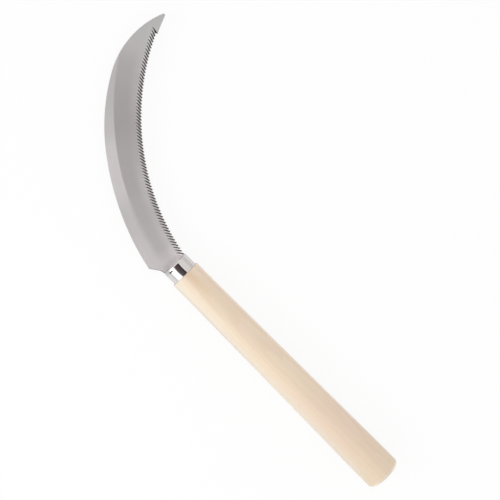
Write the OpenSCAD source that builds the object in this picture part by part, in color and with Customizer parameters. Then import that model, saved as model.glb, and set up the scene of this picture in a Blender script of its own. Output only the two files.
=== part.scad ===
// Serrated harvest sickle. A curved steel blade, toothed along its hollow edge, seats on a
// pressed metal ferrule. Its tang runs through the ferrule into a turned wooden handle,
// and one nail driven up from the underside holds ferrule, handle and tang together.
// Millimetres. The origin is the centre of the flat butt face. +Y runs along the handle
// towards the blade, +X towards the hollow side of the curve, +Z out of the toothed face.

/* [Handle] */
// Length of the wooden handle, from the butt face to the ferrule
handle_len = 213; // [180:1:260]
// Diameter of the handle just behind the ferrule
front_d = 24; // [23.4:0.1:27]
// Length of the straight stretch behind the ferrule
front_len = 22; // [6:1:50]
// Diameter of the parallel tail at the butt
tail_d = 28.2; // [25:0.1:34]
// Length of the tail, from the butt face to where the taper starts
tail_len = 16; // [10:0.5:30]
// Radius of the rounding round the butt face
butt_round = 3.2; // [1:0.1:6]
// Radius of the rounding of the wood behind the ferrule
shoulder_round = 0.8; // [0.2:0.1:1]

/* [Ferrule] */
// Outside diameter of the ferrule
ferrule_d = 21.4; // [19:0.1:22]
// Length of the ferrule, from the wood to its front face
ferrule_len = 11; // [9:0.5:16]
// Thickness of the ferrule's metal
ferrule_wall = 0.6; // [0.5:0.1:1]
// Outside radius of the ferrule's rounded nose
nose_round = 1.1; // [1.1:0.1:2.2]
// Length of each staked dent, round the ferrule
dent_len = 3.4; // [1:0.1:4]
// Width of each staked dent, along the ferrule
dent_w = 0.9; // [0.4:0.1:1.6]
// Depth of each staked dent
dent_depth = 0.35; // [0.1:0.05:0.4]
// Distance of the dents behind the ferrule's front face
dent_setback = 2.3; // [2:0.1:4]
// Angle of the dents from straight up, towards the back of the blade
dent_angle = 35; // [20:1:70]

/* [Blade] */
// Thickness of the blade at its spine
blade_t = 1.4; // [1.2:0.1:2]
// Full width of the blade, from the toothed edge to the spine
blade_w = 27.6; // [22:0.1:32]
// Radius of the toothed edge
edge_r = 176; // [150:0.5:200]
// Length of the edge along its curve, from the ferrule to the tip
edge_len = 185.3; // [150:0.1:230]
// Angle of the edge to the handle, where it leaves the ferrule
edge_lean = 10.1; // [5:0.1:14]
// Distance from the handle's axis to the edge, where it leaves the ferrule
edge_out = 10; // [8.5:0.1:10.5]
// Distance that the plain edge behind the tip stands out past the teeth
tip_stand = 0.75; // [0.2:0.05:0.9]
// Length of edge over which the blade narrows to its tip
narrow_len = 101; // [90:0.5:115]
// Radius of the spine where it starts to narrow
narrow_r = 147; // [130:1:165]
// Angle that the spine turns through at that radius
narrow_turn = 22.8; // [14:0.1:28]
// Radius of the rounded tip
tip_round = 1.2; // [0.4:0.1:1.5]

/* [Heel] */
// Distance from the handle's axis to the back of the neck
neck_out = 10.6; // [8.5:0.1:10.8]
// Length of the neck between the ferrule and the sloping heel
neck_len = 2.4; // [1.5:0.1:8]
// Angle of the sloping heel to the handle
heel_slope = 34.5; // [25:0.5:55]
// Radius of the hollow where the heel runs into the neck
heel_hollow = 6.5; // [2:0.5:12]
// Radius of the rounded heel corner
heel_round = 1.8; // [0.5:0.1:3]

/* [Grinding] */
// Width of the ground bevel on the toothed face, half way along the edge
bevel_w = 19.9; // [14:0.1:22]
// Angle of the ground bevel to the toothed face
bevel_angle = 1.4; // [0.8:0.1:1.6]
// Distance by which the grinding circle is set over towards the tip
bevel_shift = 5; // [0:0.5:8]
// Thickness left at the plain edge behind the tip
edge_t = 0.15; // [0.1:0.01:0.3]
// Width of the sharpening bevel on the back, from the plain edge
back_w = 2.2; // [1.5:0.1:3.5]

/* [Teeth] */
// Distance from one tooth to the next at the ferrule
root_pitch = 2.39; // [2.1:0.01:4]
// Distance from one tooth to the next at the last ones before the tip
tip_pitch = 2.27; // [2.1:0.01:4]
// Length of each tooth groove
groove_len = 6.5; // [6:0.1:8]
// Depth of each groove at the edge
groove_depth = 0.82; // [0.6:0.01:0.9]
// Distance from the edge, along a groove, at which its bottom starts to rise steeply
groove_bend = 5; // [2:0.1:6]
// Depth of each groove where its bottom starts to rise steeply
bend_depth = 0.4; // [0.2:0.01:0.5]
// Angle of the grooves to a line square across the edge
groove_slant = 45; // [20:1:55]
// Angle from upright of the side of each groove that faces the handle
groove_rake = 62; // [45:1:68]
// Angle from level of the side of each groove that faces the tip
groove_fall = 33; // [25:1:50]
// Place of the first groove along the edge, counted from the ferrule's front
first_groove = -0.6; // [-1:0.1:10]
// Least length of plain edge behind the tip
plain_tip = 17; // [8:1:40]

/* [Tang] */
// Length of the tang behind the blade's seat
tang_len = 78; // [45:1:120]
// Width of the tang
tang_w = 10; // [7:0.5:13]
// Length of the tapered end of the tang
tang_taper = 16; // [6:1:30]
// Width of the tang at its end
tang_end_w = 5; // [2:0.5:6.5]

/* [Nail] */
// Diameter of the nail's shank
nail_d = 2.4; // [1.8:0.1:3]
// Length of the nail under its head
nail_len = 17; // [14:0.5:18]
// Length of the nail's point
nail_point = 3; // [1.5:0.5:5]
// Diameter of the nail's blunted tip
nail_tip_d = 0.6; // [0.3:0.1:1]
// Diameter of the nail's head
nail_head_d = 5; // [4:0.1:6]
// Thickness of the nail's head
nail_head_t = 1.1; // [0.8:0.1:1.6]
// Distance of the nail in front of the wood's shoulder
nail_setback = 5; // [4:0.5:5.5]

/* [Fits] */
// Gap all round between the tenon and the ferrule
ferrule_fit = 0.1; // [0.05:0.05:0.3]
// Gap between the end of the tenon and the ferrule
tenon_end_gap = 0.2; // [0.1:0.1:0.5]
// Gap all round between the tang and the slot it sits in
tang_fit = 0.15; // [0.05:0.05:0.4]
// Gap past the end of the tang
tang_end_gap = 2; // [0.5:0.5:5]
// Gap round the nail in the wood and the ferrule
nail_fit = 0.05; // [0.02:0.01:0.2]
// Gap past the point of the nail
nail_end_gap = 0.5; // [0.2:0.1:1.5]
// Gap round the nail in the tang
nail_tang_fit = 0.15; // [0.05:0.05:0.4]

/* [Hidden] */

$fa = 1;
$fs = 0.4;

// How far a cutting shape reaches past what it cuts
past = 1;

// Angle by which each slice of the blade laps over the one before it
slice_lap = 3;

// How far a circle that would only touch its neighbour is made oversize, so that they cross
cross_by = 0.02;

// Angle by which the last slice runs on past the tip
sweep_past = 20;

// How far the cutting shape of a rounded corner reaches out, in radii of the rounding
trim_reach = 8;

// Largest share of the neck's side that the hollow of the heel may take
hollow_share = 0.95;

// How far the cutting shape of a groove stands above the toothed face, and out past the edge
groove_over = 0.3;
groove_out = 2.5;

// Handle, ferrule and the seat that the blade stands on
front_r = front_d / 2;
tail_r = tail_d / 2;
ferrule_r = ferrule_d / 2;
bore_r = ferrule_r - ferrule_wall;
tenon_r = bore_r - ferrule_fit;
tenon_chamfer = nose_round - ferrule_wall;
seat_y = handle_len + ferrule_len;
tenon_end_y = seat_y - ferrule_wall - tenon_end_gap;
nail_y = handle_len + nail_setback;

// Toothed edge: a circle that leaves the ferrule at the corner of the blade's root
edge_c = [edge_out + edge_r * cos(edge_lean), seat_y - edge_r * sin(edge_lean)];
root_angle = 180 - edge_lean;
tip_angle = root_angle - arc_angle(edge_len);

// Teeth: as many grooves as the toothed stretch has room for. The plain edge starts at the
// last of them, on a circle that stands out a little further.
mean_pitch = (root_pitch + tip_pitch) / 2;
groove_count = floor((edge_len - first_groove - plain_tip) / mean_pitch) + 1;
pitch_change = (tip_pitch - root_pitch) / (groove_count - 1);
last_groove = groove_place(groove_count - 1);
groove_h = bend_depth * groove_len / (groove_len - groove_bend) + groove_over;
plain_from = root_angle - arc_angle(last_groove);
plain_r = edge_r - tip_stand;
tip_point = edge_c + plain_r * heading(tip_angle);

// Spine: a circle about the edge's centre, then two tighter ones that run into each other
// without a corner, the last of them through the tip
spine_r = edge_r + blade_w;
narrow_from = tip_angle + arc_angle(narrow_len);
narrow_to = narrow_from - narrow_turn;
narrow_c = edge_c + (spine_r - narrow_r) * heading(narrow_from);
narrow_end = narrow_c + narrow_r * heading(narrow_to);
to_tip = tip_point - narrow_end;
sweep_r = -(to_tip * to_tip) / (2 * to_tip * heading(narrow_to));
sweep_c = narrow_end - sweep_r * heading(narrow_to);
sweep_out_r = sweep_r + 2 * cross_by;
sweep_to = bearing(tip_point - sweep_c) - sweep_past;

// Rounded tip: a small circle that touches both the sweep and the plain edge
tip_c = meet(sweep_c, sweep_out_r - tip_round, edge_c, plain_r + tip_round);
tip_on_spine = sweep_c + sweep_out_r * unit(tip_c - sweep_c);
tip_on_edge = edge_c + plain_r * unit(tip_c - edge_c);

// Heel: a sloping line up from the neck, its hollow at the bottom, its round corner on top
heel_start = [-neck_out, seat_y + neck_len];
heel_dir = [-sin(heel_slope), cos(heel_slope)];
heel_in = [cos(heel_slope), sin(heel_slope)];
hollow_r = min(heel_hollow, hollow_share * neck_len / tan(heel_slope / 2));
hollow_run = hollow_r * tan(heel_slope / 2);
hollow_c = heel_start + [-hollow_r, -hollow_run];
heel_c = on_line(heel_start + heel_round * heel_in, heel_dir, edge_c, spine_r - heel_round);
heel_on_slope = heel_c - heel_round * heel_in;
heel_on_spine = edge_c + spine_r * unit(heel_c - edge_c);

// Ground bevel: a shallow cone about a centre set over towards the tip
bevel_mid_angle = (root_angle + tip_angle) / 2;
bevel_c = edge_c + bevel_shift * heading(bevel_mid_angle - 90);
bevel_r = edge_r + bevel_w;
bevel_fall = tan(bevel_angle);
bevel_reach = 2 * bevel_w;
back_edge_z = blade_t / 2 - (bevel_w + tip_stand) * bevel_fall - edge_t;
back_fall = (back_edge_z + blade_t / 2) / back_w;

slot_w = tang_w + 2 * tang_fit;
slot_t = blade_t + 2 * tang_fit;

// Direction, as a unit vector, of an angle counted from +X
function heading(a) = [cos(a), sin(a)];

// Angle of a vector, counted from +X
function bearing(v) = atan2(v.y, v.x);

function unit(v) = v / norm(v);

// Angle that a length along the toothed edge takes up
function arc_angle(len) = len / edge_r * 180 / PI;

// Crossing of two circles, the one to the left on the way from the first centre to the second
function meet(c1, r1, c2, r2) =
    let (gap = norm(c2 - c1), u = unit(c2 - c1))
    let (along = (gap * gap + r1 * r1 - r2 * r2) / (2 * gap))
    let (off = sqrt(r1 * r1 - along * along))
    c1 + along * u + off * [-u.y, u.x];

// First point at distance r from c on the line that starts at p and runs along the unit vector d
function on_line(p, d, c, r) =
    let (b = d * (p - c), k = (p - c) * (p - c) - r * r)
    p + (-b + sqrt(b * b - k)) * d;

// Place along the edge of a groove, counted from 0. The pitch changes evenly from one to the next.
function groove_place(i) = first_groove + i * root_pitch + i * i * pitch_change / 2;

// Height of the toothed face at a point of the plan
function face_z(p) = blade_t / 2 - max(0, bevel_r - norm(p - bevel_c)) * bevel_fall;

// Stands a shape that was made along +Z up along +Y
module along_y() {
    rotate([-90, 0, 0]) children();
}

// Slice of a disc about c, from one bearing down to another
module slice(c, r, from, to) {
    mid = (from + to) / 2;
    side = (r + past) / cos((from - to) / 2);
    intersection() {
        translate(c) circle(r);
        polygon([c, c + side * heading(from), c + 2 * r * heading(mid), c + side * heading(to)]);
    }
}

// What is trimmed off a corner so that the circle about c rounds it from point a to point b
module corner_trim(c, r, a, b) {
    across = unit(b - a);
    mid = (a + b) / 2;
    out = unit(mid - c);
    reach = trim_reach * r;
    difference() {
        polygon([a, a + reach * (out - across / 2), b + reach * (out + across / 2), b]);
        translate(c) circle(r + cross_by);
    }
}

// What is cut away beside the neck and under the sloping heel
module heel_cut() {
    far = 2 * blade_w;
    hollow_on_neck = [-neck_out, hollow_c.y];
    hollow_on_slope = hollow_c + hollow_r * heel_in;
    polygon([
        [-neck_out, seat_y - past],
        hollow_on_neck,
        hollow_on_slope,
        heel_start + far * heel_dir,
        [-neck_out - far, seat_y - past]
    ]);
    translate(hollow_c) circle(hollow_r + cross_by);
}

// Outline of the blade in front of its seat
module blade_outline() {
    difference() {
        union() {
            slice(edge_c, spine_r, 180, narrow_from);
            slice(narrow_c, narrow_r + cross_by, narrow_from + slice_lap, narrow_to);
            slice(sweep_c, sweep_out_r, narrow_to + slice_lap, sweep_to);
        }
        translate(edge_c) circle(plain_r);
        slice(edge_c, edge_r, 180, plain_from);
        translate([-2 * blade_w, seat_y - edge_r]) square([4 * blade_w, edge_r]);
        heel_cut();
        corner_trim(heel_c, heel_round, heel_on_slope, heel_on_spine);
        corner_trim(tip_c, tip_round, tip_on_spine, tip_on_edge);
    }
}

// What the grinding takes off the toothed face
module bevel_cut() {
    translate([bevel_c.x, bevel_c.y, blade_t / 2]) rotate_extrude() polygon([
        [bevel_r, 0],
        [bevel_r, past],
        [bevel_r - bevel_reach, past],
        [bevel_r - bevel_reach, -bevel_reach * bevel_fall]
    ]);
}

// What the sharpening takes off the back, along the edge
module back_cut() {
    inside = back_w + past;
    translate([edge_c.x, edge_c.y, -blade_t / 2]) rotate_extrude() polygon([
        [plain_r + back_w, 0],
        [plain_r + back_w - inside, inside * back_fall],
        [plain_r + back_w - inside, -past],
        [plain_r + back_w, -past]
    ]);
}

// Straight V-shaped cut, the X axis pointing out past the edge. Its bottom line runs through two
// places, each given as [distance inwards from the edge, height].
module v_cut(inner, outer) {
    translate([-inner[0], 0, inner[1]])
        rotate([0, atan((inner[1] - outer[1]) / (inner[0] - outer[0])), 0])
        translate([inner[0] - groove_len - past, 0, 0])
        rotate([90, 0, 90])
        linear_extrude(groove_len + past + groove_out)
        polygon([[0, 0], [groove_h * tan(groove_rake), groove_h], [-groove_h / tan(groove_fall), groove_h]]);
}

// One tooth groove, at a distance along the edge. It deepens towards the edge, steeply at first,
// and slants towards the handle, and runs into its neighbours there, which leaves the teeth as points.
module groove(along) {
    a = root_angle - arc_angle(along);
    mouth = edge_c + edge_r * heading(a);
    inwards = heading(a - groove_slant);
    end = [groove_len, face_z(mouth + groove_len * inwards)];
    bend = [groove_bend, face_z(mouth + groove_bend * inwards) - bend_depth];
    translate([mouth.x, mouth.y, 0]) rotate([0, 0, a + 180 - groove_slant]) intersection() {
        v_cut(end, bend);
        v_cut(bend, [0, face_z(mouth) - groove_depth]);
    }
}

module teeth() {
    for (i = [0 : groove_count - 1]) groove(groove_place(i));
}

module tang() {
    end_y = seat_y - tang_len;
    translate([0, 0, -blade_t / 2]) linear_extrude(blade_t) polygon([
        [tang_w / 2, seat_y],
        [-tang_w / 2, seat_y],
        [-tang_w / 2, end_y + tang_taper],
        [-tang_end_w / 2, end_y],
        [tang_end_w / 2, end_y],
        [tang_w / 2, end_y + tang_taper]
    ]);
}

module blade() {
    color([0.68, 0.68, 0.69]) difference() {
        union() {
            difference() {
                translate([0, 0, -blade_t / 2]) linear_extrude(blade_t) blade_outline();
                bevel_cut();
                back_cut();
                teeth();
            }
            tang();
        }
        translate([0, nail_y, -blade_t]) cylinder(h = 2 * blade_t, r = nail_d / 2 + nail_tang_fit);
    }
}

// Cross-section of a round bar that stands on the X axis and has a rounded top rim
module rounded_bar(r, len, round) {
    square([r - round, len]);
    square([r, len - round]);
    translate([r - round, len - round]) circle(round);
}

// Slot for the tang, from one Y to another
module tang_slot(from, to) {
    translate([-slot_w / 2, from, -slot_t / 2]) cube([slot_w, to - from, slot_t]);
}

// Hole for the nail through the wood and the ferrule, up from the underside
module nail_hole() {
    translate([0, nail_y, -ferrule_r - past])
        cylinder(h = nail_len + past + nail_end_gap, r = nail_d / 2 + nail_fit);
}

// One staked dent on the top of the ferrule, turned by an angle towards the blade's back
module dent(turn) {
    translate([0, seat_y - dent_setback, 0])
        rotate([0, -turn, 0])
        translate([-dent_len / 2, 0, ferrule_r - dent_depth])
        rotate([90, 0, 90])
        linear_extrude(dent_len)
        polygon([[0, 0], [dent_w, 2 * dent_depth], [-dent_w, 2 * dent_depth]]);
}

module ferrule() {
    color([0.85, 0.84, 0.85]) difference() {
        translate([0, handle_len, 0]) along_y() rotate_extrude() intersection() {
            rounded_bar(ferrule_r, ferrule_len, nose_round);
            square([ferrule_r, ferrule_len]);
        }
        translate([0, handle_len, 0]) along_y() rotate_extrude() intersection() {
            rounded_bar(bore_r, ferrule_len - ferrule_wall, nose_round - ferrule_wall);
            square([bore_r, ferrule_len]);
        }
        tang_slot(handle_len, seat_y + past);
        nail_hole();
        dent(dent_angle);
        dent(dent_angle + 180);
    }
}

// Half of the handle's lengthwise section, the axis on the left
module handle_section() {
    polygon([
        [0, 0],
        [tail_r - butt_round, 0],
        [tail_r, butt_round],
        [tail_r, tail_len],
        [front_r, handle_len - front_len],
        [front_r, handle_len - shoulder_round],
        [front_r - shoulder_round, handle_len],
        [tenon_r, handle_len],
        [tenon_r, tenon_end_y - tenon_chamfer],
        [tenon_r - tenon_chamfer, tenon_end_y],
        [0, tenon_end_y]
    ]);
    translate([tail_r - butt_round, butt_round]) circle(butt_round);
    translate([front_r - shoulder_round, handle_len - shoulder_round]) circle(shoulder_round);
}

module handle() {
    color([0.94, 0.86, 0.75]) difference() {
        along_y() rotate_extrude() handle_section();
        tang_slot(seat_y - tang_len - tang_end_gap, seat_y);
        nail_hole();
    }
}

module nail() {
    dome_r = (nail_head_d * nail_head_d / 4 + nail_head_t * nail_head_t) / (2 * nail_head_t);
    color([0.6, 0.6, 0.62]) translate([0, nail_y, -ferrule_r]) {
        cylinder(h = nail_len - nail_point, r = nail_d / 2);
        translate([0, 0, nail_len - nail_point])
            cylinder(h = nail_point, r1 = nail_d / 2, r2 = nail_tip_d / 2);
        intersection() {
            translate([0, 0, dome_r - nail_head_t]) sphere(dome_r);
            translate([0, 0, -nail_head_t]) cylinder(h = nail_head_t, r = nail_head_d / 2);
        }
    }
}

blade();
ferrule();
handle();
nail();
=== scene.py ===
import math
from types import SimpleNamespace

import bmesh
import bpy
from mathutils import Matrix, Vector


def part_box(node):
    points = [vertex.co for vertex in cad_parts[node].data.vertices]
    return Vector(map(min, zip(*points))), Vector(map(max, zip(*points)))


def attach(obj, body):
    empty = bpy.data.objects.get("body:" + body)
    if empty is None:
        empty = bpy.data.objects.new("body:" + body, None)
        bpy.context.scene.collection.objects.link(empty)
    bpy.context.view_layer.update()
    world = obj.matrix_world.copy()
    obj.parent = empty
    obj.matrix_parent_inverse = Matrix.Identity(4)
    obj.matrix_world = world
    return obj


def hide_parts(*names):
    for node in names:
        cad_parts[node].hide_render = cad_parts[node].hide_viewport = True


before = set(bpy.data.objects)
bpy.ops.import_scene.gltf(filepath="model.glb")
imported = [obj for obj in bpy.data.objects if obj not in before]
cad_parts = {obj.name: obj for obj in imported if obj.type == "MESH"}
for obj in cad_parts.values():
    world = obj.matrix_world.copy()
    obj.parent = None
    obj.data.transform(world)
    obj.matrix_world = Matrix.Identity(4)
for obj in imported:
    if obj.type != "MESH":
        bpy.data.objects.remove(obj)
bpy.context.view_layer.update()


def node_box(name):
    """Low and high corner of a solid, to a hundredth of a millimetre."""
    return [[round(value, 5) for value in corner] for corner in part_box(name)]


# Sizes in metres. Y runs along the handle, from the butt to the blade.
MM = 0.001
blade_low = node_box("blade")[0]
ferrule_low, ferrule_high = node_box("ferrule")
handle_high = node_box("handle")[1]
nail_low, nail_high = node_box("nail")

HANDLE_LEN = ferrule_low[1]
TAIL_R = handle_high[0]
FRONT_R = 12 * MM
TAIL_LEN = 16 * MM
FRONT_LEN = 22 * MM
BUTT_ROUND = 3.2 * MM
SHOULDER_ROUND = 0.8 * MM
TENON_R = 10 * MM
TENON_END = handle_high[1]
HANDLE_SEGMENTS = 160

FERRULE_R = ferrule_high[0]
SEAT_Y = ferrule_high[1]
FERRULE_WALL = 0.6 * MM
NOSE_ROUND = 1.1 * MM
RIM_ROUND = 0.15 * MM
BULGE = 0.08 * MM
FERRULE_END_R = FERRULE_R - BULGE
FERRULE_SEGMENTS = 360

TANG_SLOT = (10.3 * MM, 1.7 * MM)
MORTISE_FROM = blade_low[1] - 2 * MM

NAIL_Y = (nail_low[1] + nail_high[1]) / 2
NAIL_R = 1.2 * MM
NAIL_TOP = nail_high[2]
NAIL_POINT = 3 * MM
NAIL_TIP_R = 0.3 * MM
NAIL_HEAD_R = nail_high[0]
NAIL_HEAD_T = -FERRULE_R - nail_low[2]
NAIL_SEGMENTS = 72
NAIL_HOLE_R = 1.25 * MM
NAIL_HOLE_TOP = NAIL_TOP + 0.5 * MM
HOLE_SEGMENTS = 48

# Two staked dents, on opposite sides of the ferrule. Directions are 0 on top, positive towards +X.
DENT_Y = SEAT_Y - 2.3 * MM
DENT_ANGLES = (math.radians(-35), math.radians(145))
DENT_HALF_LEN = 1.7 * MM
DENT_HALF_W = 0.45 * MM
DENT_END = 0.4 * MM
DENT_DEPTH = 0.35 * MM
DENT_SHADE_FADE = 0.25 * MM

# Plan of the blade, in millimetres, as in the solids: its toothed edge and its bevel are circles
EDGE_R = 176.0
EDGE_OUT = 10.0
EDGE_LEAN = math.radians(10.1)
EDGE_LEN = 185.3
BEVEL_W = 19.9
BEVEL_SHIFT = 5.0
NECK_OUT = 10.6
NECK_LEN = 2.4
HEEL_SLOPE = math.radians(34.5)
ROOT_ANGLE = math.pi - EDGE_LEAN
MID_ANGLE = ROOT_ANGLE - EDGE_LEN / EDGE_R / 2
EDGE_C = (EDGE_OUT + EDGE_R * math.cos(EDGE_LEAN), SEAT_Y / MM - EDGE_R * math.sin(EDGE_LEAN))
BEVEL_C = (EDGE_C[0] + BEVEL_SHIFT * math.sin(MID_ANGLE), EDGE_C[1] - BEVEL_SHIFT * math.cos(MID_ANGLE))
BEVEL_R = EDGE_R + BEVEL_W

# Tones of the steel, with painted reflections and shade of the hollow grind that are partly the grind's own
# finish, from the ferrule at 0 to a little past the tip at 1
TONE_SPAN = 190.0
SPINE_PAINTED_SHADING = [
    (0.0, 0.807), (0.06, 0.788), (0.21, 0.734), (0.32, 0.827), (0.43, 0.828), (0.53, 0.735),
    (0.64, 0.689), (1.0, 0.66)]
HOLLOW_PAINTED_SHADING = [
    (0.0, 0.805), (0.08, 0.641), (0.21, 0.615), (0.32, 0.583), (0.42, 0.567), (0.54, 0.526),
    (0.63, 0.541), (0.74, 0.589), (0.82, 0.662), (1.0, 0.62)]
NEAR_TEETH_PAINTED_SHADING = [
    (0.0, 0.928), (0.08, 0.741), (0.21, 0.673), (0.32, 0.698), (0.42, 0.608), (0.53, 0.554),
    (0.63, 0.613), (0.74, 0.654), (0.82, 0.685), (1.0, 0.636)]
# Painted light on the groove sides that face the tip, from the points of the teeth at 0 inwards
LIT_SIDE_SPAN = 5.0
LIT_SIDE_PAINTED_TONES = [(0.0, 0.98), (0.18, 0.95), (0.30, 0.73), (0.42, 0.85), (0.65, 0.86), (1.0, 0.76)]

# Places on the blade, in millimetres, each from where a tone starts to where it is full
NEAR_TEETH = (12.0, 4.0)
GROOVES_RUN_OUT = (2.0, 2.8, 4.0, 4.8)
GROOVE_FADE = (1.9, 2.9)
GROOVES_STOP = (172.0, 166.0)
TIP = (148.0, 174.0)
HEEL_RIM = (0.9, 0.1)

# How the steel differs from its plain tones, with gains of painted light and shade among them
BACK_GAIN = 0.82
LIT_SIDE_PAINTED_GAIN = 1.20
SPINE_GRAIN = 0.17
BEVEL_GRAIN = 0.06
CLOUD_GRAIN = 0.05
HEEL_RIM_SHADE_SHARE = 0.42

# Colours of the metals, with painted shade for the heel rim, the grooves, the dents and the nose of the
# ferrule among them
STEEL_TINT = (1.0, 0.962, 0.955)
TIP_TINT = (1.0, 1.0, 0.99)
HEEL_RIM_PAINTED_SHADE = (0.10, 0.095, 0.095)
SHEARED_STEEL = (0.45, 0.44, 0.435)
GROOVE_SHADE_DARKEST = (0.022, 0.020, 0.019)
GROOVE_SHADE_DARK = (0.055, 0.051, 0.049)
GROOVE_SHADE_FADED = (0.085, 0.082, 0.080)
FERRULE_DARK = (0.70, 0.675, 0.665)
FERRULE_LIGHT = (0.75, 0.73, 0.72)
DENT_PAINTED_SHADE = (0.16, 0.15, 0.148)
NOSE_PAINTED_SHADE = (0.80, 0.79, 0.79)
NAIL_LIGHT = (0.50, 0.49, 0.485)
NAIL_DARK = (0.36, 0.35, 0.34)

# The wood: its pith and growth rings in millimetres, and its colours, with painted light and shade for the
# tail and the butt's rim
PITH = (-34, 0, -52)
RING_WIDTH = 2.3
RING_WAVER = 9.0
WOOD_YELLOW = (0.815, 0.665, 0.495)
WOOD_PINK = (0.81, 0.64, 0.505)
LATE_WOOD = (0.74, 0.565, 0.41)
PALE_FIBRE = (0.86, 0.72, 0.56)
DARK_STREAK = (0.70, 0.54, 0.40)
PORE = (0.58, 0.43, 0.30)
TAIL_PAINTED_SHADE = (0.95, 0.945, 0.925)
BUTT_RIM_TOP_PAINTED_LIGHT = (1.05, 1.14, 1.24)
BUTT_RIM_PAINTED_LIGHT = (1.22, 1.28, 1.38)

# The studio. The handle's tail touches the floor.
ACROSS = Vector((1, 0, 0))
ALONG = Vector((0, 1, 0))
UP = Vector((0, 0, 1))
TOOL_MIDDLE = Vector((0, 0.2, 0))
FLOOR_Z = -TAIL_R
FLOOR_HALF = 3.0
FLOOR_GLOW = 0.90
FLOOR_GLOW_MIRRORED = 0.25
CARD_Z = FLOOR_Z + 0.5 * MM
WHITE = (1, 1, 1, 1)
PAPER = (0.9, 0.9, 0.9, 1)


# Camera: fitted to the outline of the tool in the photograph
def make_camera():
    tilt = math.radians(6.0)
    roll = math.radians(44.555)
    distance = 1.2
    target = Vector((0.04645, 0.19179, 0.0))
    focal_px = 1628.2
    picture_px = 500
    across = Vector((1, 0, 0))
    along = Vector((0, math.cos(tilt), -math.sin(tilt)))
    back = Vector((0, math.sin(tilt), math.cos(tilt)))
    right = math.cos(roll) * across - math.sin(roll) * along
    up = math.sin(roll) * across + math.cos(roll) * along
    data = bpy.data.cameras.new("photo_camera")
    data.sensor_fit = "HORIZONTAL"
    data.sensor_width = 36.0
    data.lens = data.sensor_width * focal_px / picture_px
    data.clip_start = 0.05
    data.clip_end = 20.0
    camera = bpy.data.objects.new("photo_camera", data)
    bpy.context.scene.collection.objects.link(camera)
    turn = Matrix((right, up, back)).transposed().to_4x4()
    camera.matrix_world = Matrix.Translation(target + distance * back) @ turn
    bpy.context.scene.camera = camera


# Node helpers
def empty_tree(owner):
    """The node tree of a material or world, without nodes."""
    owner.use_nodes = True
    owner.node_tree.nodes.clear()
    return owner.node_tree


def add(tree, kind, inputs=None, **settings):
    node = tree.nodes.new(kind)
    for key, value in settings.items():
        setattr(node, key, value)
    for key, value in (inputs or {}).items():
        if isinstance(value, bpy.types.NodeSocket):
            tree.links.new(value, node.inputs[key])
        else:
            node.inputs[key].default_value = value
    return node


def calc(tree, op, a, b=0.0, c=0.0):
    return add(tree, "ShaderNodeMath", {0: a, 1: b, 2: c}, operation=op).outputs[0]


def times(tree, first, *others):
    """The product of its values."""
    for other in others:
        first = calc(tree, "MULTIPLY", first, other)
    return first


def vec(tree, op, a, b=(0, 0, 0), scale=1.0):
    second = {"Scale": scale} if op == "SCALE" else {1: b}
    node = add(tree, "ShaderNodeVectorMath", {0: a, **second}, operation=op)
    return node.outputs["Value" if op in ("LENGTH", "DOT_PRODUCT", "DISTANCE") else "Vector"]


def split(tree, vector):
    """The x, y and z of a vector."""
    return list(add(tree, "ShaderNodeSeparateXYZ", {0: vector}).outputs)


def combine(tree, x, y, z=0.0):
    return add(tree, "ShaderNodeCombineXYZ", {0: x, 1: y, 2: z}).outputs[0]


def step(tree, value, low, high, to_low=0.0, to_high=1.0, kind="SMOOTHSTEP"):
    inputs = {"Value": value, "From Min": low, "From Max": high, "To Min": to_low, "To Max": to_high}
    return add(tree, "ShaderNodeMapRange", inputs, interpolation_type=kind).outputs["Result"]


def window(tree, value, low, full, fade, high):
    """Rises from 0 to 1 between low and full, and falls back to 0 between fade and high."""
    return times(tree, step(tree, value, low, full), step(tree, value, high, fade))


def noise(tree, vector, detail, rough=0.5, distortion=0.0):
    inputs = {"Vector": vector, "Scale": 1.0, "Detail": detail, "Roughness": rough, "Distortion": distortion}
    return add(tree, "ShaderNodeTexNoise", inputs).outputs["Fac"]


def stretched_noise(tree, at, stretch, detail, rough=0.5):
    """Noise that is finer along an axis the larger its number in stretch is."""
    return noise(tree, vec(tree, "MULTIPLY", at, stretch), detail, rough)


def mix(tree, factor, a, b, blend="MIX"):
    node = add(tree, "ShaderNodeMix", {"Factor": factor}, data_type="RGBA", blend_type=blend)
    for key, value in ((6, a), (7, b)):
        if isinstance(value, bpy.types.NodeSocket):
            tree.links.new(value, node.inputs[key])
        else:
            node.inputs[key].default_value = (*value, 1.0)
    return node.outputs[2]


def tinted(tree, mask, tone, tint):
    """A tone that is multiplied by a tint where the mask is 1."""
    return mix(tree, mask, tone, tint, "MULTIPLY")


def blend_value(tree, factor, a, b):
    return add(tree, "ShaderNodeMix", {"Factor": factor, 2: a, 3: b}, data_type="FLOAT").outputs[0]


def curve(tree, value, points):
    """A smooth grey ramp through (position from 0 to 1, value) pairs."""
    node = add(tree, "ShaderNodeValToRGB", {"Fac": value})
    node.color_ramp.interpolation = "EASE"
    stops = node.color_ramp.elements
    while len(stops) < len(points):
        stops.new(0.5)
    for stop, (at, level) in zip(stops, points):
        stop.position = at
        stop.color = (level, level, level, 1.0)
    return node.outputs["Color"]


def millimetres(tree):
    coord = tree.nodes.new("ShaderNodeTexCoord").outputs["Object"]
    return vec(tree, "SCALE", coord, scale=1 / MM)


def round_axis(tree, at):
    """Direction from the tool's axis, 0 on top and positive towards +X, place along it and radius."""
    x, y, z = split(tree, at)
    radius = vec(tree, "LENGTH", combine(tree, x, 0.0, z))
    return calc(tree, "ARCTAN2", x, z), y, radius


# Materials
def new_material(name):
    material = bpy.data.materials.new(name)
    tree = empty_tree(material)
    shader = tree.nodes.new("ShaderNodeBsdfPrincipled")
    add(tree, "ShaderNodeOutputMaterial", {"Surface": shader.outputs[0]})
    return material, tree, shader


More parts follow.
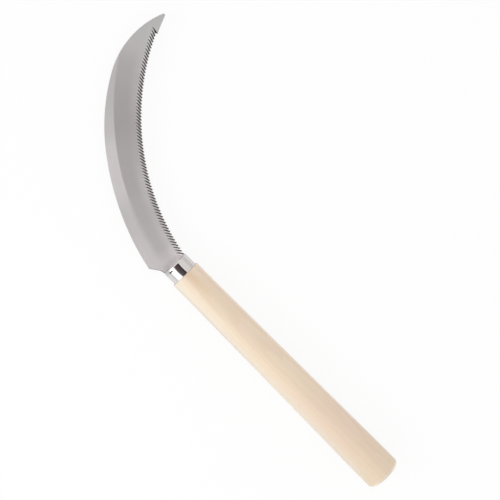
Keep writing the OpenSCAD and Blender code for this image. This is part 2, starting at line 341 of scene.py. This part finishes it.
def dress(tree, shader, tone, roughness, relief, metallic=0.0):
    """Gives a shader its colour, a roughness (value, least, most) and a bump (height, strength, depth)."""
    value, least, most = roughness
    height, strength, depth = relief
    rough = calc(tree, "MULTIPLY_ADD", value, most - least, least)
    tree.links.new(tone, shader.inputs["Base Color"])
    tree.links.new(rough, shader.inputs["Roughness"])
    shader.inputs["Metallic"].default_value = metallic
    bump = add(tree, "ShaderNodeBump", {"Height": height, "Strength": strength, "Distance": depth})
    tree.links.new(bump.outputs[0], shader.inputs["Normal"])
    return bump


def edge_place(tree, at):
    """Where a point of the blade lies, in millimetres from its toothed edge and from its bevel's end."""
    flat = vec(tree, "MULTIPLY", at, (1, 1, 0))
    from_centre = vec(tree, "SUBTRACT", flat, (*EDGE_C, 0))
    x, y, _ = split(tree, from_centre)
    turned = calc(tree, "SUBTRACT", ROOT_ANGLE, calc(tree, "ARCTAN2", y, x))
    return SimpleNamespace(
        flat=flat, x=x, y=y,
        inward=calc(tree, "SUBTRACT", vec(tree, "LENGTH", from_centre), EDGE_R),
        along=calc(tree, "MULTIPLY", turned, EDGE_R),
        to_bevel=calc(tree, "SUBTRACT", BEVEL_R, vec(tree, "DISTANCE", flat, (*BEVEL_C, 0))))


def painted_grind_shading(tree, place, bevel):
    """Painted reflections and shade of the grind, partly its own finish: a lighter spine, and a hollow bevel
    that is darkest half way along the edge.
    """
    share = calc(tree, "DIVIDE", place.along, TONE_SPAN)
    near_teeth = step(tree, place.inward, *NEAR_TEETH)
    ground = mix(tree, near_teeth, curve(tree, share, HOLLOW_PAINTED_SHADING), curve(tree, share, NEAR_TEETH_PAINTED_SHADING))
    tone = mix(tree, bevel, curve(tree, share, SPINE_PAINTED_SHADING), ground)
    # The strip where the tooth grooves run out: painted shade near the handle, painted light half way along
    strip = window(tree, place.inward, *GROOVES_RUN_OUT)
    strip = times(tree, strip, step(tree, place.along, *GROOVES_STOP))
    gain = step(tree, place.along, 30.0, 90.0, 0.92, 1.12)
    return mix(tree, strip, tone, vec(tree, "SCALE", tone, scale=gain))


def grinding_lines(tree, place, bevel):
    """Lines along the curve on the spine and across it on the bevel, and those across it alone."""
    spine_at = combine(tree, times(tree, place.inward, 1.5), times(tree, place.along, 0.02))
    cross_at = combine(tree, times(tree, place.inward, 0.05), times(tree, place.along, 2.6), 4.0)
    spine_lines = noise(tree, spine_at, 5.0, 0.6)
    cross_lines = noise(tree, cross_at, 4.0, 0.6, 0.2)
    return blend_value(tree, bevel, spine_lines, cross_lines), cross_lines


def ripple(tree, value, strength, about):
    """A number that rises and falls about another one with a value from 0 to 1."""
    return calc(tree, "MULTIPLY_ADD", calc(tree, "SUBTRACT", value, 0.5), strength, about)


def grain_shade(tree, at, lines, bevel):
    """A grey close to 1 that follows the grinding lines and a soft cloud."""
    cloud = stretched_noise(tree, at, (0.07, 0.07, 0.07), 3.0)
    grain = ripple(tree, lines, blend_value(tree, bevel, SPINE_GRAIN, BEVEL_GRAIN), 1.0)
    grain = ripple(tree, cloud, CLOUD_GRAIN, grain)
    return combine(tree, grain, grain, grain)


def painted_heel_rim_shade(tree, place):
    """A dark line of painted shade along the rolled rim of neck and heel."""
    off_corner = vec(tree, "SUBTRACT", place.flat, (-NECK_OUT, SEAT_Y / MM + NECK_LEN, 0))
    off_neck = vec(tree, "DOT_PRODUCT", off_corner, (1, 0, 0))
    off_heel = vec(tree, "DOT_PRODUCT", off_corner, (math.cos(HEEL_SLOPE), math.sin(HEEL_SLOPE), 0))
    return step(tree, calc(tree, "MAXIMUM", off_neck, off_heel), *HEEL_RIM, 0.0, HEEL_RIM_SHADE_SHARE)


def groove_masks(tree, place, normal, front):
    """The sides of the tooth grooves, and those of them that face the handle."""
    normal_x, normal_y, upward = normal
    sides = times(tree, step(tree, upward, 0.96, 0.92), front)
    # The grooves run at 45 degrees to the edge, so the sides face along its radius turned by 45
    facing = times(tree, normal_x, calc(tree, "SUBTRACT", place.x, place.y))
    facing = calc(tree, "MULTIPLY_ADD", normal_y, calc(tree, "ADD", place.x, place.y), facing)
    return sides, times(tree, sides, calc(tree, "GREATER_THAN", facing, 0.0))


def groove_painted_light_and_shade(tree, place, tone, cross_lines, sides, to_handle):
    """Tooth grooves with painted shade on the side that faces the handle, and painted light on the other
    side, brightest at the points and half way down.
    """
    # Painted shade on the groove sides that face the handle
    dark = mix(tree, step(tree, cross_lines, 0.3, 0.7), GROOVE_SHADE_DARKEST, GROOVE_SHADE_DARK)
    dark = mix(tree, step(tree, place.inward, *GROOVE_FADE), dark, GROOVE_SHADE_FADED)
    # Painted light on the groove sides that face the tip
    lit_side_tone = curve(tree, calc(tree, "DIVIDE", place.inward, LIT_SIDE_SPAN), LIT_SIDE_PAINTED_TONES)
    light = mix(tree, 1.0, vec(tree, "SCALE", tone, scale=LIT_SIDE_PAINTED_GAIN), lit_side_tone, "MULTIPLY")
    tone = mix(tree, sides, tone, light)
    return mix(tree, to_handle, tone, dark)


def blade_steel():
    material, tree, shader = new_material("blade_steel")
    at = millimetres(tree)
    place = edge_place(tree, at)
    normal = split(tree, tree.nodes.new("ShaderNodeNewGeometry").outputs["True Normal"])
    front = step(tree, normal[2], 0.0, 0.1)
    # The bevel's border is soft by the ferrule and crisp further along
    softness = step(tree, place.along, 10.0, 70.0, 3.2, 0.6)
    bevel = step(tree, place.to_bevel, times(tree, softness, -1.0), softness)
    front_bevel = times(tree, bevel, front)
    lines, cross_lines = grinding_lines(tree, place, front_bevel)
    tone = painted_grind_shading(tree, place, front_bevel)
    # The back is ground a little duller than the front
    tone = mix(tree, front, vec(tree, "SCALE", tone, scale=BACK_GAIN), tone)
    tint = mix(tree, step(tree, place.along, *TIP), STEEL_TINT, TIP_TINT)
    tone = tinted(tree, 1.0, tone, tint)
    tone = tinted(tree, 1.0, tone, grain_shade(tree, at, lines, bevel))
    # Painted shade along the rolled rim of neck and heel
    tone = mix(tree, painted_heel_rim_shade(tree, place), tone, HEEL_RIM_PAINTED_SHADE)
    sheared = calc(tree, "SUBTRACT", 1.0, step(tree, calc(tree, "ABSOLUTE", normal[2]), 0.02, 0.2))
    tone = mix(tree, sheared, tone, SHEARED_STEEL)
    tone = groove_painted_light_and_shade(tree, place, tone, cross_lines, *groove_masks(tree, place, normal, front))
    bump = dress(tree, shader, tone, (lines, 0.44, 0.60), (lines, 0.25, 0.01 * MM), metallic=1.0)
    # Its edges catch the light as if they were slightly rounded
    edges = add(tree, "ShaderNodeBevel", {"Radius": 0.18 * MM}, samples=6)
    tree.links.new(edges.outputs[0], bump.inputs["Normal"])
    return material


def ferrule_metal():
    material, tree, shader = new_material("ferrule_metal")
    at = millimetres(tree)
    turn, y, radius = round_axis(tree, at)
    lines = noise(tree, combine(tree, times(tree, turn, 0.7), times(tree, y, 5.0)), 4.0, 0.6)
    smudge = stretched_noise(tree, at, (0.35, 0.35, 0.35), 3.0)
    dent = add(tree, "ShaderNodeAttribute", attribute_name="dent").outputs["Fac"]
    tone = mix(tree, step(tree, lines, 0.3, 0.7), FERRULE_DARK, FERRULE_LIGHT)
    # Painted shade in the staked dents and just round them
    tone = mix(tree, dent, tone, DENT_PAINTED_SHADE)
    # Painted shade on the left of the nose. It fades on the front face, where all directions meet.
    left = window(tree, turn, -2.2, -1.6, -0.85, -0.6)
    nose = step(tree, y, SEAT_Y / MM - 4.2, SEAT_Y / MM - 1.6)
    off_face = step(tree, radius, 6.5, 9.4)
    tone = tinted(tree, times(tree, left, nose, off_face), tone, NOSE_PAINTED_SHADE)
    dress(tree, shader, tone, (smudge, 0.05, 0.15), (lines, 0.15, 0.01 * MM), metallic=1.0)
    return material


def wood_tone(tree, at, fibres, fine, pores):
    """Pale wood with growth rings about a pith outside the handle, wavering slowly along the grain."""
    waver = stretched_noise(tree, at, (0.05, 0.012, 0.05), 2.0)
    from_pith = vec(tree, "MULTIPLY", vec(tree, "SUBTRACT", at, PITH), (1, 0, 1))
    ring_at = calc(tree, "MULTIPLY_ADD", waver, RING_WAVER, vec(tree, "LENGTH", from_pith))
    rings = calc(tree, "FRACT", calc(tree, "DIVIDE", ring_at, RING_WIDTH))
    late = window(tree, rings, 0.2, 0.85, 0.93, 1.0)
    blush = stretched_noise(tree, at, (0.05, 0.022, 0.05), 2.0)
    tone = mix(tree, step(tree, blush, 0.35, 0.65), WOOD_YELLOW, WOOD_PINK)
    tone = mix(tree, times(tree, late, 0.35), tone, LATE_WOOD)
    tone = mix(tree, step(tree, fibres, 0.35, 0.7, 0.0, 0.30), tone, PALE_FIBRE)
    tone = mix(tree, step(tree, fine, 0.55, 0.75, 0.0, 0.22), tone, DARK_STREAK)
    return mix(tree, times(tree, pores, 0.30), tone, PORE)


def painted_light_and_shade_tone(tree, at, tone):
    """Painted light and shade on the handle: areas that are paler or darker than the plain wood."""
    turn, y, radius = round_axis(tree, at)
    # Painted shade, darker towards the tail
    tail = step(tree, y, 120.0, 10.0)
    tone = tinted(tree, tail, tone, TAIL_PAINTED_SHADE)
    # What changes round the handle stops at the rim of the butt's flat face
    on_side = step(tree, radius, 9.0, 12.0)
    off_top = blend_value(tree, on_side, 1.0, step(tree, calc(tree, "ABSOLUTE", turn), 0.2, 0.8))
    # Painted light on the butt's rounded rim
    butt_rim = step(tree, y, 3.6, 1.2)
    tone = tinted(tree, butt_rim, tone, mix(tree, off_top, BUTT_RIM_TOP_PAINTED_LIGHT, BUTT_RIM_PAINTED_LIGHT))
    # Each area: a window of directions in radians, where it sets in, in millimetres, and its tint
    painted_areas = [
        # A painted highlight down the left flank
        ((-1.5, -0.98, -0.98, -0.4), step(tree, y, -5.0, 30.0), (1.0, 1.08, 1.16)),
        # Painted shade on its lower left side
        ((-2.7, -1.9, -1.3, -0.95), step(tree, y, 110.0, 180.0), (0.87, 0.885, 0.90)),
        # Painted light all down the right side
        ((0.45, 0.75, 1.8, 2.2), on_side, (1.06, 1.05, 1.055)),
        # Painted light, strongest along the middle of the right side
        ((1.05, 1.5, 1.6, 2.0), step(tree, y, -10.0, 100.0), (1.155, 1.15, 1.195)),
        # A painted highlight on the upper left towards the ferrule
        ((-1.15, -0.9, -0.4, -0.1), step(tree, y, 140.0, 180.0), (1.02, 1.055, 1.075)),
        # A warmer, darker patch of painted shade on top, next to the ferrule
        ((-0.15, 0.09, 0.25, 0.49), step(tree, y, 180.0, 211.0), (0.93, 0.88, 0.79)),
    ]
    for directions, where, tint in painted_areas:
        tone = tinted(tree, times(tree, window(tree, turn, *directions), where), tone, tint)
    return tone


def handle_wood():
    material, tree, shader = new_material("handle_wood")
    at = millimetres(tree)
    fibres = stretched_noise(tree, at, (3.2, 0.06, 3.2), 4.0, 0.6)
    fine = stretched_noise(tree, at, (9.0, 0.22, 9.0), 3.0, 0.6)
    pores = step(tree, stretched_noise(tree, at, (7.0, 0.45, 7.0), 1.0), 0.70, 0.78)
    tone = painted_light_and_shade_tone(tree, at, wood_tone(tree, at, fibres, fine, pores))
    height = calc(tree, "SUBTRACT", fine, times(tree, pores, 1.5))
    dress(tree, shader, tone, (fibres, 0.28, 0.48), (height, 0.35, 0.02 * MM))
    shader.inputs["Sheen Weight"].default_value = 0.5
    shader.inputs["Sheen Roughness"].default_value = 0.4
    return material


def nail_steel():
    material, tree, shader = new_material("nail_steel")
    at = millimetres(tree)
    spots = stretched_noise(tree, at, (1.1, 1.1, 1.1), 4.0, 0.6)
    hatch = stretched_noise(tree, at, (6.0, 0.8, 6.0), 3.0)
    tone = mix(tree, step(tree, spots, 0.35, 0.7), NAIL_LIGHT, NAIL_DARK)
    dress(tree, shader, tone, (hatch, 0.25, 0.50), (hatch, 0.3, 0.02 * MM), metallic=1.0)
    return material


# Shapes
def arc(cy, cr, radius, start, end, count):
    """Points (y, r) of an arc in a lengthwise section. Angles in degrees, 0 along +Y, 90 outward."""
    points = []
    for i in range(count + 1):
        a = math.radians(start + (end - start) * i / count)
        points.append((cy + radius * math.cos(a), cr + radius * math.sin(a)))
    return points


def run(start, end, count):
    """Points of a straight line, without its first one."""
    return [tuple(s + (e - s) * i / count for s, e in zip(start, end)) for i in range(1, count + 1)]


def link_object(name, mesh):
    """Makes an object of a bmesh, which it frees."""
    data = bpy.data.meshes.new(name)
    mesh.to_mesh(data)
    mesh.free()
    piece = bpy.data.objects.new(name, data)
    bpy.context.scene.collection.objects.link(piece)
    return piece


def lathe(name, profile, segments):
    """Turns a section of (y, r) points about the Y axis. It starts and ends on the axis."""
    on_axis = 1e-4 * MM
    turns = [2 * math.pi * i / segments for i in range(segments)]
    mesh = bmesh.new()
    rings = []
    for y, r in profile:
        if r < on_axis:
            rings.append([mesh.verts.new((0, y, 0))])
        else:
            rings.append([mesh.verts.new((r * math.sin(a), y, r * math.cos(a))) for a in turns])
    for one, two in zip(rings, rings[1:]):
        for i in range(segments):
            j = (i + 1) % segments
            corners = [one[i % len(one)], one[j % len(one)], two[j % len(two)], two[i % len(two)]]
            corners = list(dict.fromkeys(corners))
            if len(corners) > 2:
                mesh.faces.new(corners)
    bmesh.ops.recalc_face_normals(mesh, faces=mesh.faces)
    return link_object(name, mesh)


def cut(piece, cutter):
    """Takes a cutter out of a piece and deletes the cutter."""
    same_place = 0.001 * MM
    modifier = piece.modifiers.new("cut", "BOOLEAN")
    modifier.operation = "DIFFERENCE"
    modifier.solver = "EXACT"
    modifier.object = cutter
    bpy.context.view_layer.update()
    result = bpy.data.meshes.new_from_object(piece.evaluated_get(bpy.context.evaluated_depsgraph_get()))
    # Where a cutter's corner meets a vertex, the cut leaves two vertices in one place
    mesh = bmesh.new()
    mesh.from_mesh(result)
    bmesh.ops.remove_doubles(mesh, verts=mesh.verts, dist=same_place)
    mesh.to_mesh(result)
    mesh.free()
    piece.modifiers.clear()
    piece.data = result
    bpy.data.objects.remove(cutter)


def tang_cutter(from_y, to_y):
    """A bar as wide and thick as the slot for the tang."""
    half_w, half_t = TANG_SLOT[0] / 2, TANG_SLOT[1] / 2
    low, high = (-half_w, from_y, -half_t), (half_w, to_y, half_t)
    mesh = bmesh.new()
    bmesh.ops.create_cube(mesh, size=1.0)
    for vertex in mesh.verts:
        vertex.co = Vector(h if c > 0 else l for c, l, h in zip(vertex.co, low, high))
    return link_object("cutter", mesh)


def nail_cutter(low, high):
    """A rod as thick as the nail's hole, upright at the nail's place."""
    mesh = bmesh.new()
    bmesh.ops.create_cone(
        mesh, cap_ends=True, segments=HOLE_SEGMENTS,
        radius1=NAIL_HOLE_R, radius2=NAIL_HOLE_R, depth=high - low)
    bmesh.ops.translate(mesh, verts=mesh.verts, vec=(0, NAIL_Y, (low + high) / 2))
    return link_object("cutter", mesh)


def finish_piece(piece, material, node, sharp_angle=32):
    """Gives a piece its material and smooth shading, and lets it take a solid's place."""
    piece.data.materials.clear()
    piece.data.materials.append(material)
    piece.data.shade_smooth()
    piece.data.set_sharp_from_angle(angle=math.radians(sharp_angle))
    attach(piece, "root")
    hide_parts(node)


def make_handle():
    nose = NOSE_ROUND - FERRULE_WALL
    profile = [(0.0, 0.0)]
    profile += run(profile[-1], (0.0, TAIL_R - BUTT_ROUND), 6)
    profile += arc(BUTT_ROUND, TAIL_R - BUTT_ROUND, BUTT_ROUND, 180, 90, 14)[1:]
    profile += run(profile[-1], (TAIL_LEN, TAIL_R), 4)
    profile += run(profile[-1], (HANDLE_LEN - FRONT_LEN, FRONT_R), 40)
    profile += run(profile[-1], (HANDLE_LEN - SHOULDER_ROUND, FRONT_R), 6)
    profile += arc(HANDLE_LEN - SHOULDER_ROUND, FRONT_R - SHOULDER_ROUND, SHOULDER_ROUND, 90, 0, 8)[1:]
    profile += [(HANDLE_LEN, TENON_R)]
    profile += run(profile[-1], (TENON_END - nose, TENON_R), 4)
    profile += [(TENON_END, TENON_R - nose), (TENON_END, 0.0)]
    handle = lathe("turned_handle", profile, HANDLE_SEGMENTS)
    cut(handle, tang_cutter(MORTISE_FROM, SEAT_Y))
    cut(handle, nail_cutter(-FRONT_R, NAIL_HOLE_TOP))
    finish_piece(handle, handle_wood(), "handle")


def clamp(value):
    return max(0.0, min(1.0, value))


def from_dent(angle, y):
    """Distances round the ferrule and along it from the middle of the nearer dent."""
    off = min(abs((angle - centre + math.pi) % (2 * math.pi) - math.pi) for centre in DENT_ANGLES)
    return off * FERRULE_R, abs(y - DENT_Y)


def dent_depth(angle, y):
    """Depth of a staked dent, from 0 to 1: a V across, with short sloping ends."""
    sideways, across = from_dent(angle, y)
    return clamp((DENT_HALF_LEN - sideways) / DENT_END) * clamp(1 - across / DENT_HALF_W)


def dent_painted_shade(angle, y):
    """Share of painted shade, from 0 to 1: in the staked dents and just round them."""
    sideways, across = from_dent(angle, y)
    stained = clamp(1 - (sideways - DENT_HALF_LEN) / DENT_SHADE_FADE)
    return stained * clamp(1 - (across - DENT_HALF_W) / DENT_SHADE_FADE)


def stake(data):
    """Presses the dents into the ferrule's outside and stores their painted shade."""
    outside_r = FERRULE_R - FERRULE_WALL / 2
    dent_shade_attribute = data.attributes.new("dent", "FLOAT", "POINT")
    for vertex, share in zip(data.vertices, dent_shade_attribute.data):
        x, y, z = vertex.co
        r = math.hypot(x, z)
        if r > outside_r:
            angle = math.atan2(x, z)
            share.value = dent_painted_shade(angle, y)
            pressed = dent_depth(angle, y) * DENT_DEPTH
            vertex.co.x -= x / r * pressed
            vertex.co.z -= z / r * pressed


def wall_radius(y):
    """Radius of the ferrule's wall, which bulges slightly between its ends."""
    start, end = HANDLE_LEN + RIM_ROUND, SEAT_Y - NOSE_ROUND
    return FERRULE_R - BULGE * ((2 * y - start - end) / (end - start)) ** 2


def ferrule_outside():
    nose_r = FERRULE_END_R - NOSE_ROUND
    profile = arc(HANDLE_LEN + RIM_ROUND, FERRULE_END_R - RIM_ROUND, RIM_ROUND, 180, 90, 4)
    # The wall has its finest rows where the dents and their painted shade are
    wall = run(profile[-1], (DENT_Y - DENT_HALF_W - DENT_SHADE_FADE, FERRULE_END_R), 24)
    wall += run(wall[-1], (DENT_Y - DENT_HALF_W, FERRULE_END_R), 3)
    wall += run(wall[-1], (DENT_Y + DENT_HALF_W, FERRULE_END_R), 12)
    wall += run(wall[-1], (SEAT_Y - NOSE_ROUND, FERRULE_END_R), 4)
    profile += [(y, wall_radius(y)) for y, _ in wall]
    profile += arc(SEAT_Y - NOSE_ROUND, nose_r, NOSE_ROUND, 90, 0, 14)[1:]
    return profile + run(profile[-1], (SEAT_Y, 0.0), 6)


def ferrule_inside():
    bore = FERRULE_R - FERRULE_WALL
    end = SEAT_Y - FERRULE_WALL
    inside_round = NOSE_ROUND - FERRULE_WALL
    profile = [(HANDLE_LEN, bore)]
    profile += run(profile[-1], (end - inside_round, bore), 6)
    profile += arc(end - inside_round, bore - inside_round, inside_round, 90, 0, 6)[1:]
    return profile + [(end, 0.0)]


def make_ferrule():
    ferrule = lathe("ferrule_cap", ferrule_inside()[::-1] + ferrule_outside(), FERRULE_SEGMENTS)
    stake(ferrule.data)
    cut(ferrule, tang_cutter(SEAT_Y - 2 * FERRULE_WALL, SEAT_Y + MM))
    cut(ferrule, nail_cutter(-FERRULE_R - MM, -FERRULE_R + 2 * FERRULE_WALL))
    finish_piece(ferrule, ferrule_metal(), "ferrule", sharp_angle=40)


def make_nail():
    """A nail with a domed head, turned along Y and then stood up on its head."""
    dome_r = (NAIL_HEAD_R ** 2 + NAIL_HEAD_T ** 2) / (2 * NAIL_HEAD_T)
    rim_angle = 180 - math.degrees(math.asin(NAIL_HEAD_R / dome_r))
    profile = arc(dome_r - NAIL_HEAD_T - FERRULE_R, 0.0, dome_r, 180, rim_angle, 16)
    profile += [(-FERRULE_R, NAIL_R)]
    profile += run(profile[-1], (NAIL_TOP - NAIL_POINT, NAIL_R), 6)
    profile += run(profile[-1], (NAIL_TOP, NAIL_TIP_R), 6)
    profile += [(NAIL_TOP, 0.0)]
    nail = lathe("driven_nail", profile, NAIL_SEGMENTS)
    nail.data.transform(Matrix.Translation((0, NAIL_Y, 0)) @ Matrix.Rotation(math.radians(90), 4, "X"))
    finish_piece(nail, nail_steel(), "nail")


def dress_blade():
    """Gives the solid blade its material."""
    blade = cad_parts["blade"]
    blade.data.materials.clear()
    blade.data.materials.append(blade_steel())


# Studio
def rectangle(low, high):
    return [low, (high[0], low[1]), high, (low[0], high[1])]


def plain_sheet(name, outline, axis_u, axis_v, centre):
    """A flat sheet with an outline of (u, v) points about a centre."""
    mesh = bpy.data.meshes.new(name)
    corners = [Vector(centre) + u * axis_u + v * axis_v for u, v in outline]
    mesh.from_pydata(corners, [], [tuple(range(len(corners)))])
    sheet = bpy.data.objects.new(name, mesh)
    bpy.context.scene.collection.objects.link(sheet)
    return sheet


def background_share(tree, in_reflections=1.0):
    """1 for rays from the camera or through glass, 0 for rays that light things."""
    path = tree.nodes.new("ShaderNodeLightPath")
    reflected = times(tree, path.outputs["Is Glossy Ray"], in_reflections)
    seen = calc(tree, "MAXIMUM", path.outputs["Is Camera Ray"], reflected)
    return calc(tree, "MAXIMUM", seen, path.outputs["Is Transmission Ray"])


def make_floor():
    outline = rectangle((-FLOOR_HALF, -FLOOR_HALF), (FLOOR_HALF, FLOOR_HALF))
    floor = plain_sheet("floor", outline, ACROSS, ALONG, TOOL_MIDDLE + FLOOR_Z * UP)
    material = bpy.data.materials.new("floor_white")
    tree = empty_tree(material)
    paper = add(tree, "ShaderNodeBsdfDiffuse", {"Color": PAPER})
    glow = add(tree, "ShaderNodeEmission", {"Color": WHITE, "Strength": 1.0})
    # Part of the floor's white is lit paper, so that it keeps the tool's shadow
    share = times(tree, background_share(tree, FLOOR_GLOW_MIRRORED), FLOOR_GLOW)
    surface = add(tree, "ShaderNodeMixShader", {0: share, 1: paper.outputs[0], 2: glow.outputs[0]})
    add(tree, "ShaderNodeOutputMaterial", {"Surface": surface.outputs[0]})
    floor.data.materials.append(material)


def make_card(name, low_end, high_end, outline, axis_u, axis_v, centre):
    """A studio card that only reflections see, with one colour at its low end and one at its high end."""
    card = plain_sheet(name, outline, axis_u, axis_v, centre)
    material = bpy.data.materials.new(name)
    tree = empty_tree(material)
    share = split(tree, tree.nodes.new("ShaderNodeTexCoord").outputs["Generated"])[0]
    colour = mix(tree, share, low_end, high_end)
    glow = add(tree, "ShaderNodeEmission", {"Color": colour, "Strength": 1.0})
    add(tree, "ShaderNodeOutputMaterial", {"Surface": glow.outputs[0]})
    card.data.materials.append(material)
    card.visible_camera = False
    card.visible_diffuse = False
    card.visible_shadow = False
    card.visible_transmission = False


def make_cards():
    """The cards that the polished ferrule mirrors."""
    # A dark flag overhead, whose outline shapes the dark and bright bands on the ferrule
    outline = [(0.68, -0.38), (0.68, -0.22), (0.62, -0.17), (0.62, -0.09), (0.70, -0.03), (0.74, 0.32)]
    outline += [(-0.60, 0.32), (-0.60, -0.02), (-0.73, -0.07), (-0.77, -0.12), (-0.74, -0.17)]
    outline += [(-0.64, -0.22), (-0.55, -0.27), (-0.55, -0.38)]
    dark, darkest = (0.15, 0.12, 0.125), (0.03, 0.021, 0.022)
    make_card("dark_flag", dark, darkest, outline, ACROSS, ALONG, (0, NAIL_Y, 1.5))
    # On the right a tall grey card, a low one before it and one that lies on the floor
    grey = (0.90, 0.87, 0.85)
    make_card("grey_card", grey, grey, rectangle((-0.3, -0.5), (0.3, 0.5)), ALONG, UP, (0.6, 0.2, 0.5))
    grey = (0.76, 0.745, 0.735)
    make_card("low_card", grey, grey, rectangle((-0.3, 0), (0.3, 0.10)), ALONG, UP, (0.25, NAIL_Y, CARD_Z))
    near, far = (0.80, 0.785, 0.78), (0.66, 0.645, 0.64)
    make_card("lying_card", near, far, rectangle((0.05, 0.17), (0.25, 0.26)), ACROSS, ALONG, (0, 0, CARD_Z))
    # On the left a darker strip, low and far away
    grey = (0.62, 0.61, 0.6)
    make_card("left_strip", grey, grey, rectangle((-1.0, 0), (1.0, 0.24)), ALONG, UP, (-2.0, NAIL_Y, 0))


def make_dome():
    """White to the eye, and a light that is stronger from overhead than from the horizon."""
    world = bpy.data.worlds.new("studio")
    bpy.context.scene.world = world
    tree = empty_tree(world)
    height = split(tree, tree.nodes.new("ShaderNodeTexCoord").outputs["Generated"])[2]
    strength = step(tree, height, 0.0, 1.0, 0.6, 1.02, "LINEAR")
    ambient = add(tree, "ShaderNodeBackground", {"Color": WHITE, "Strength": strength})
    white = add(tree, "ShaderNodeBackground", {"Color": WHITE, "Strength": 1.0})
    share = background_share(tree)
    mixed = add(tree, "ShaderNodeMixShader", {0: share, 1: ambient.outputs[0], 2: white.outputs[0]})
    add(tree, "ShaderNodeOutputWorld", {"Surface": mixed.outputs[0]})


def make_softbox(name, lean, y, distance, size, energy):
    """A rectangular lamp that leans over the tool from the -X side and points at its middle."""
    lamp = bpy.data.lights.new(name, "AREA")
    lamp.shape = "RECTANGLE"
    lamp.size, lamp.size_y = size
    lamp.energy = energy
    softbox = bpy.data.objects.new(name, lamp)
    bpy.context.scene.collection.objects.link(softbox)
    lean = math.radians(lean)
    softbox.location = Vector((-distance * math.sin(lean), y, distance * math.cos(lean)))
    softbox.rotation_euler = (softbox.location - TOOL_MIDDLE).to_track_quat("Z", "Y").to_euler()
    # The blade takes its light from the dome, or its flat sides would flare from some directions
    unlit = bpy.data.collections.new(name + "_unlit")
    unlit.objects.link(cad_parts["blade"])
    unlit.collection_objects[0].light_linking.link_state = "EXCLUDE"
    softbox.light_linking.receiver_collection = unlit


bpy.context.scene.view_settings.view_transform = "Standard"
make_camera()
make_floor()
make_dome()
make_softbox("softbox", lean=51, y=0.26, distance=0.55, size=(0.62, 0.42), energy=0.74)
make_softbox("front_softbox", lean=50, y=0.75, distance=1.0, size=(0.5, 0.5), energy=1.1)
make_cards()
make_handle()
make_ferrule()
dress_blade()
make_nail()
